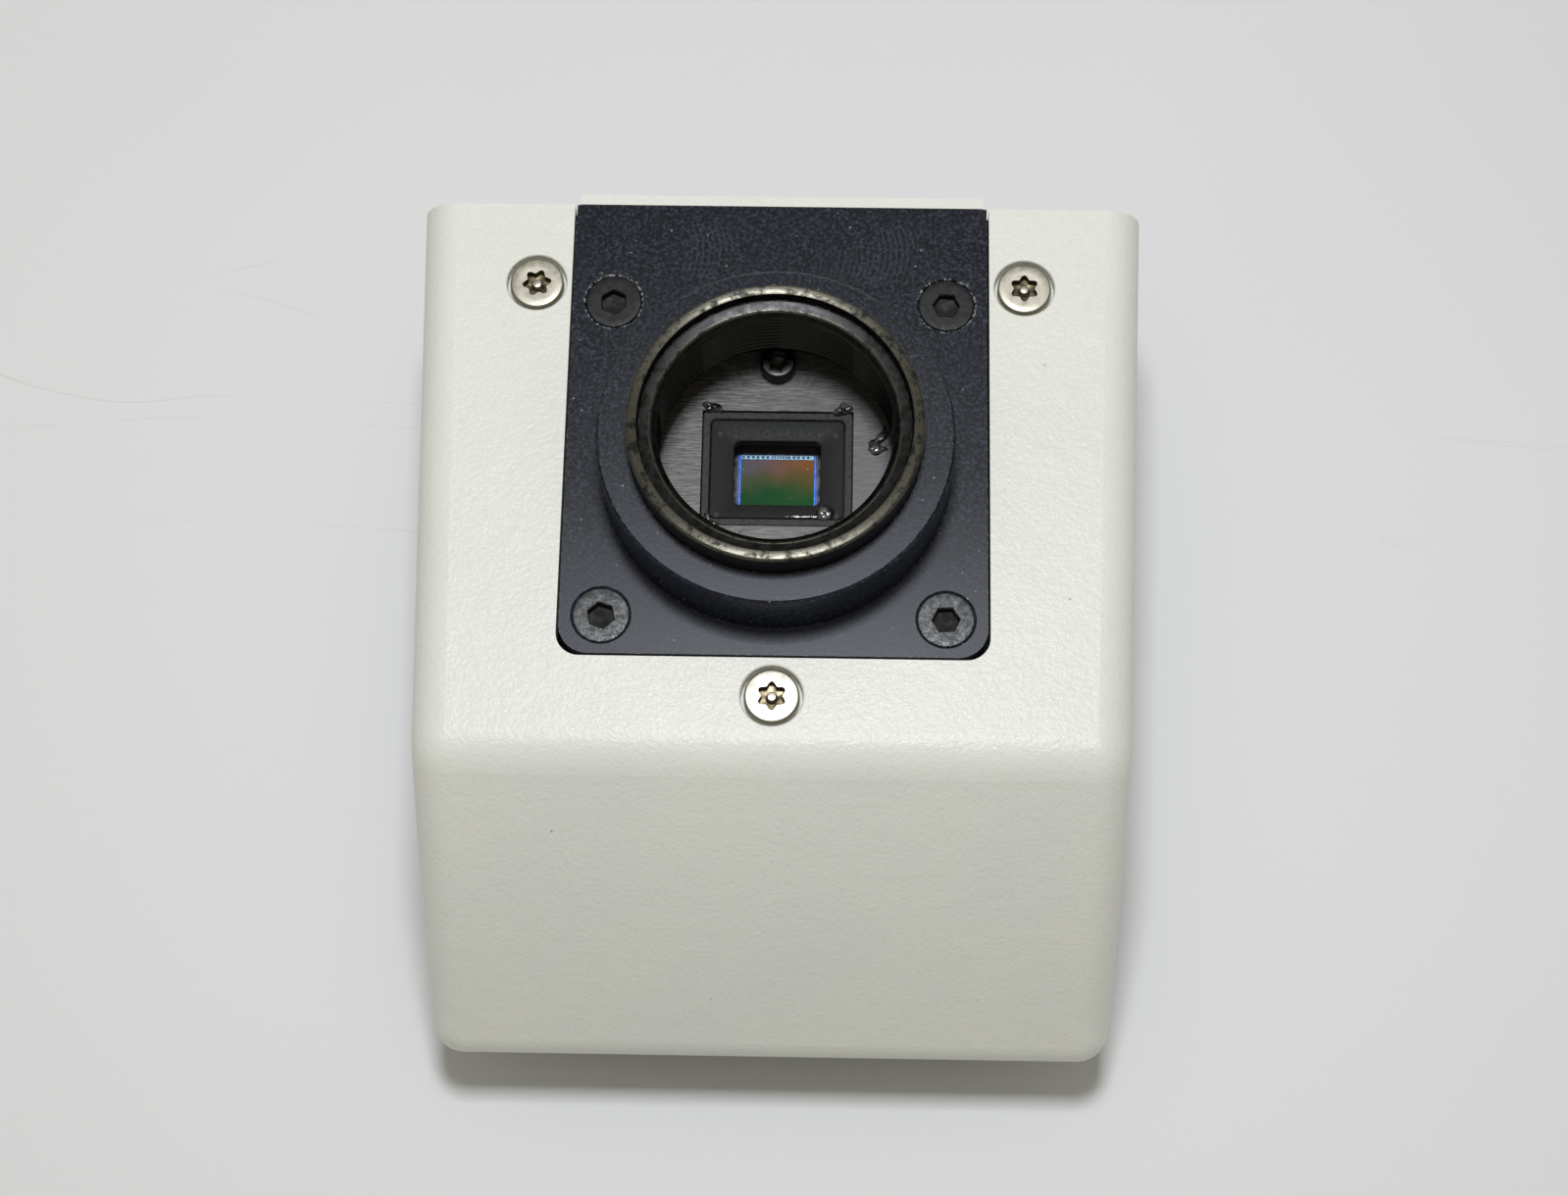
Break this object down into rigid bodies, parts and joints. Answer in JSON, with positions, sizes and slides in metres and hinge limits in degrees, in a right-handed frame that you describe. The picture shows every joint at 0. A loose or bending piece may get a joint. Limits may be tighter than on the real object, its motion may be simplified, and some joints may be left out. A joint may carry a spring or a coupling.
{
  "type": "cooled camera head",
  "caption": "Cooled camera head with a cream hood, a black plate with a threaded lens mount, a small sensor in a sealed chamber and a finned heat sink.",
  "frame": {"origin": "centre of the lens mount's flange, on the optical axis", "axes": "+Z along the optical axis out of the lens mount, +Y towards the end panel with the sockets, +X to the right seen with the mount facing the viewer and +Y up"},
  "size_m": [0.0788, 0.0912, 0.0498],
  "materials": {
    "hood_paint": "cream fine-textured powder coat",
    "panel_paint": "cream powder coat on sheet metal",
    "black_anodised": "black anodised aluminium with a blue-grey sheen",
    "ring_metal": "blackened steel, worn bright on the rim",
    "black_screw": "black oxide",
    "stainless": "turned stainless steel",
    "zinc_screw": "zinc plated",
    "floor_metal": "dark brushed aluminium",
    "mask_black": "matt black",
    "optical_glass": "clear coated",
    "ceramic": "dark ceramic",
    "white_ceramic": "white alumina",
    "silicon": "iridescent chip surface",
    "gold": "gold flash",
    "solder": "bright solder",
    "adhesive": "clear epoxy",
    "rubber_black": "moulded nitrile",
    "foot_rubber": "moulded rubber",
    "board_green": "green solder mask",
    "chip_black": "moulded epoxy",
    "flex_amber": "amber polyimide",
    "desiccant_white": "pressed tablet",
    "copper": "bare copper",
    "pellet_grey": "bismuth telluride",
    "pad_grey": "thermal pad",
    "foam_black": "closed cell foam",
    "housing_metal": "machined aluminium",
    "sink_black": "black anodised extrusion",
    "chassis_metal": "dark anodised aluminium",
    "socket_shell": "nickel plated",
    "jack_black": "moulded black",
    "lens_green": "clear green"
  },
  "bodies": {
    "camera": {"front_hood": "hood_paint", "hood_screws": "stainless", "mount_plate": "black_anodised", "plate_screws": "black_screw", "ring_lock_screws": "black_screw", "chamber_floor": "floor_metal", "floor_screw": "zinc_screw", "sensor_mask": "mask_black", "sensor_glass": "optical_glass", "sensor_package": "ceramic", "sensor_die": "silicon", "bond_pads": "gold", "sensor_leads": "solder", "glue_dabs": "adhesive", "sensor_board": "board_green", "board_spacers": "zinc_screw", "desiccant_tablet": "desiccant_white", "sensor_flex": "flex_amber", "cold_finger": "copper", "thermistor": "chip_black", "cooler_cold_plate": "white_ceramic", "cooler_pellets": "pellet_grey", "cooler_hot_plate": "white_ceramic", "thermal_pad": "pad_grey", "cooler_foam": "foam_black", "chamber_housing": "housing_metal", "upper_seal": "rubber_black", "lower_seal": "rubber_black", "main_board": "board_green", "board_standoffs": "zinc_screw", "board_screws": "zinc_screw", "board_chips": "chip_black", "heat_sink": "sink_black", "chamber_screws": "stainless", "sink_screws": "stainless", "rear_chassis": "chassis_metal", "rubber_feet": "foot_rubber", "end_panel": "panel_paint", "panel_screws": "stainless", "data_connector": "socket_shell", "power_jack": "jack_black", "status_lens": "lens_green"},
    "ring_carrier": {"ring_seal": "rubber_black"},
    "mount_ring": {"c_mount_ring": "ring_metal"}
  },
  "joints": [
    {"name": "ring_lift", "type": "slide", "parent": "camera", "child": "ring_carrier", "axis": [0, 0, 1], "range_m": [-0.000375, 0.000375]},
    {"name": "ring_turn", "type": "hinge", "parent": "ring_carrier", "child": "mount_ring", "pos_m": [0, 0, 0], "axis": [0, 0, 1], "range_deg": [-180, 180]}
  ],
  "couplings": [
    {"joint": "ring_lift", "follows": "ring_turn", "m_per_rad": 0.00011937}
  ]
}
